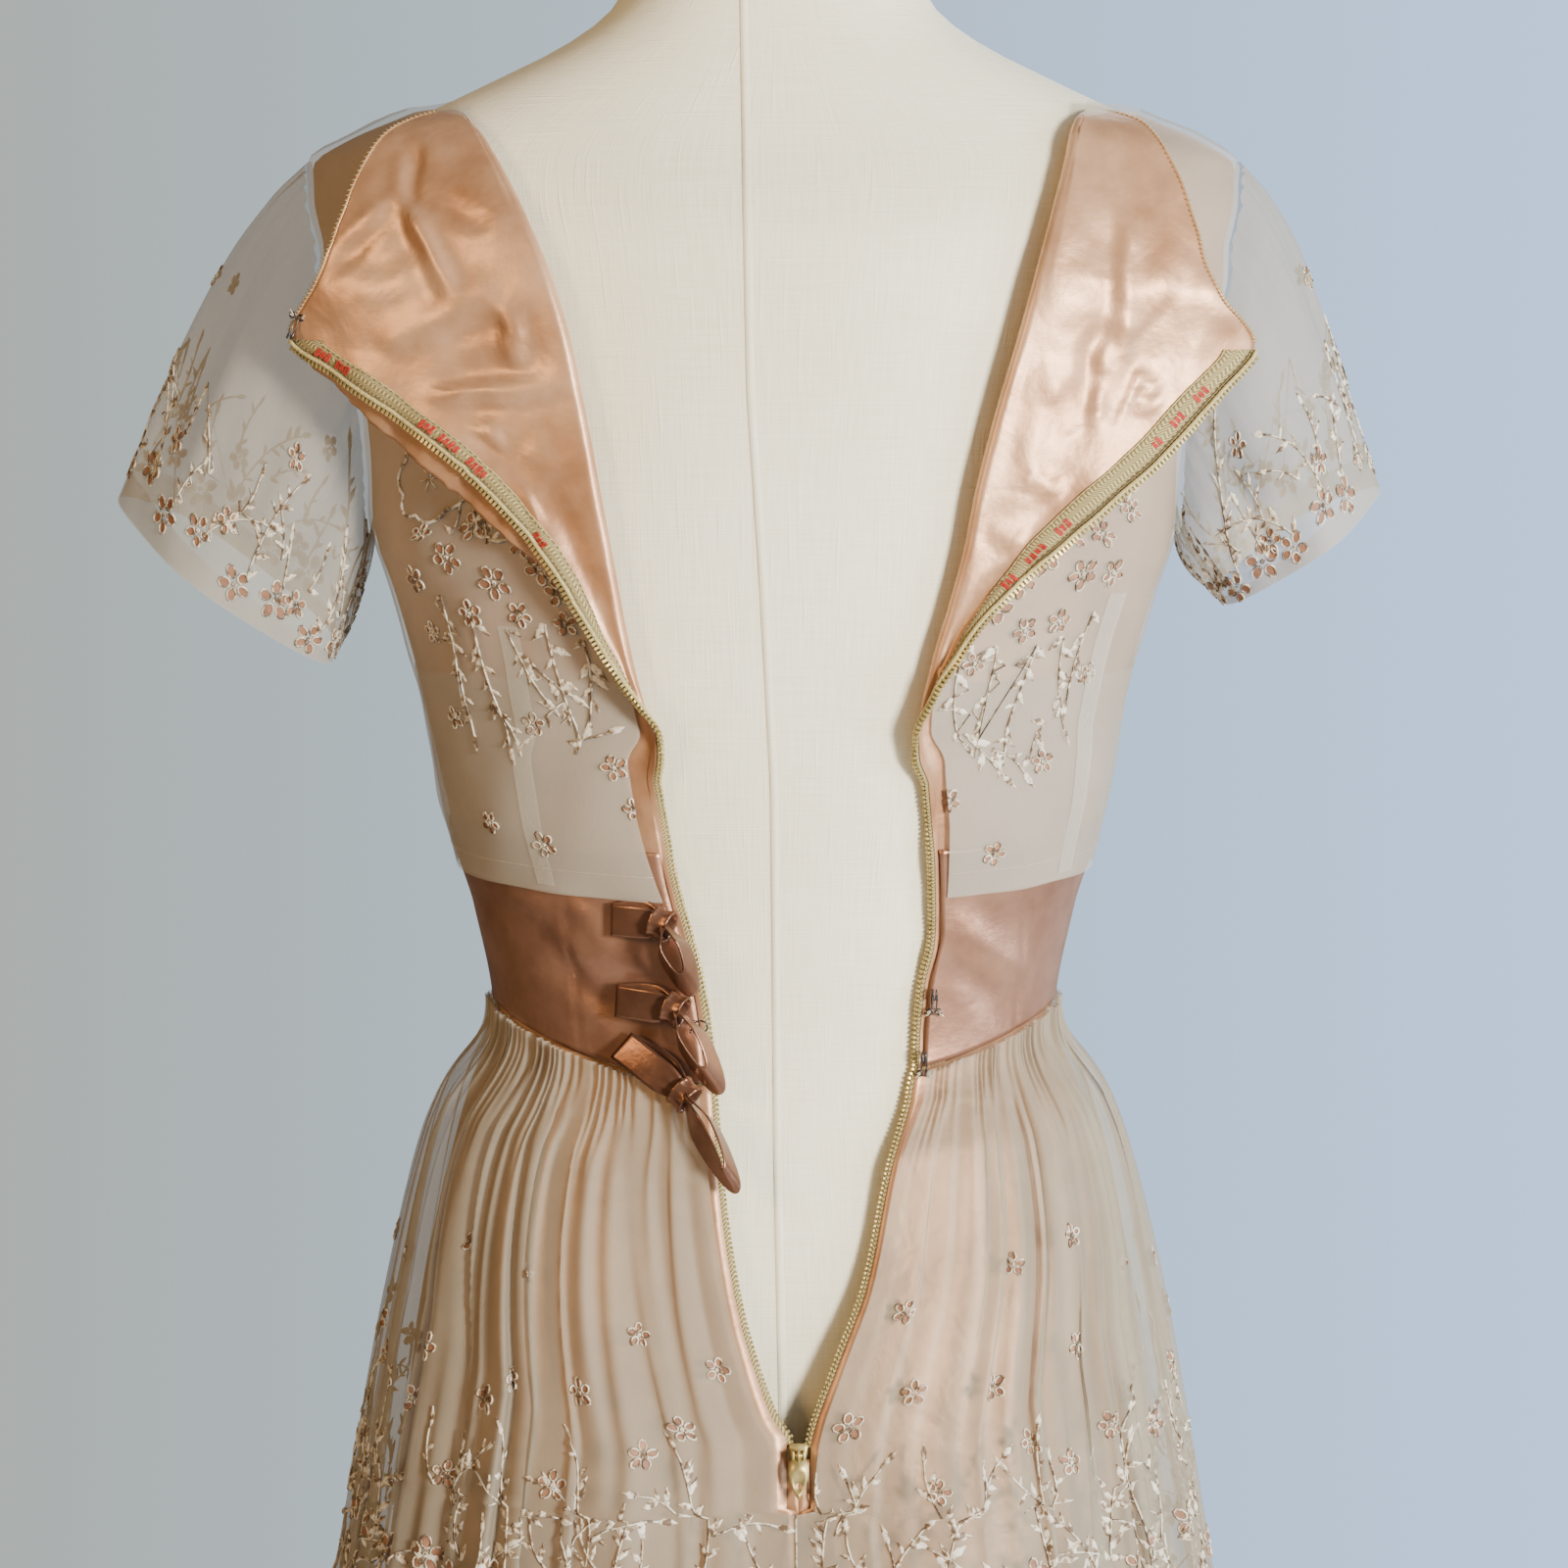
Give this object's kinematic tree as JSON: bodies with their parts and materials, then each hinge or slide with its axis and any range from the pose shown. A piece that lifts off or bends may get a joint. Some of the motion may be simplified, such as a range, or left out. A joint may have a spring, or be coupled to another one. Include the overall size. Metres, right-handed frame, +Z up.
{
  "type": "party dress on a dress form",
  "caption": "Tea-length party dress with sheer embroidered overlay, satin midriff, ribbon bows and gathered skirt, unzipped down the back on a linen dress form with a round base.",
  "frame": {"origin": "centre of the underside of the stand's round base", "axes": "+Z up along the pole; -Y towards the wearer's back, where the zip is; +X towards the wearer's right"},
  "size_m": [0.5975, 0.5387, 1.5503],
  "materials": {
    "form_linen": "plain-woven slubby linen cover, matt",
    "lining_satin": "peach satin, soft sheen",
    "rose_satin": "bronze-rose satin, bright sheen",
    "organza": "sheer beige organza, crisp",
    "embroidery_thread": "lustrous beige embroidery thread",
    "zip_cotton": "olive-beige herringbone cotton tape",
    "zip_brass": "aged brass, dull",
    "hook_steel": "drawn wire",
    "stand_enamel": "black stove enamel",
    "cap_wood": "turned and varnished"
  },
  "bodies": {
    "root": {"form_torso": "form_linen", "form_neck_cap": "cap_wood", "stand_pole": "stand_enamel", "stand_base": "stand_enamel", "bodice_lining_back_left": "lining_satin", "bodice_lining_back_right": "lining_satin", "bodice_lining_front": "lining_satin", "bodice_overlay_back_left": "organza", "bodice_overlay_back_right": "organza", "bodice_overlay_front": "organza", "midriff_back_left": "rose_satin", "midriff_back_right": "rose_satin", "midriff_front": "rose_satin", "sleeve_left": "organza", "sleeve_right": "organza", "skirt_lining_back_left": "lining_satin", "skirt_lining_back_right": "lining_satin", "skirt_lining_front": "lining_satin", "skirt_overlay_back_left": "organza", "skirt_overlay_back_right": "organza", "skirt_overlay_front": "organza", "zip_tape_left": "zip_cotton", "zip_tape_right": "zip_cotton", "zip_slider": "zip_brass", "bow_1": "rose_satin", "bow_2": "rose_satin", "bow_3": "rose_satin", "hook_neck": "hook_steel", "hook_waist_lower": "hook_steel", "hook_waist_upper": "hook_steel", "eye_waist": "hook_steel"},
    "zip_pull": {"zip_pull_tab": "zip_brass"}
  },
  "joints": [
    {"name": "zip_pull_swing", "type": "hinge", "parent": "root", "child": "zip_pull", "pos_m": [0.0098, -0.12996, 0.89108], "axis": [-1, 0, 0], "range_deg": [0, 150]}
  ]
}
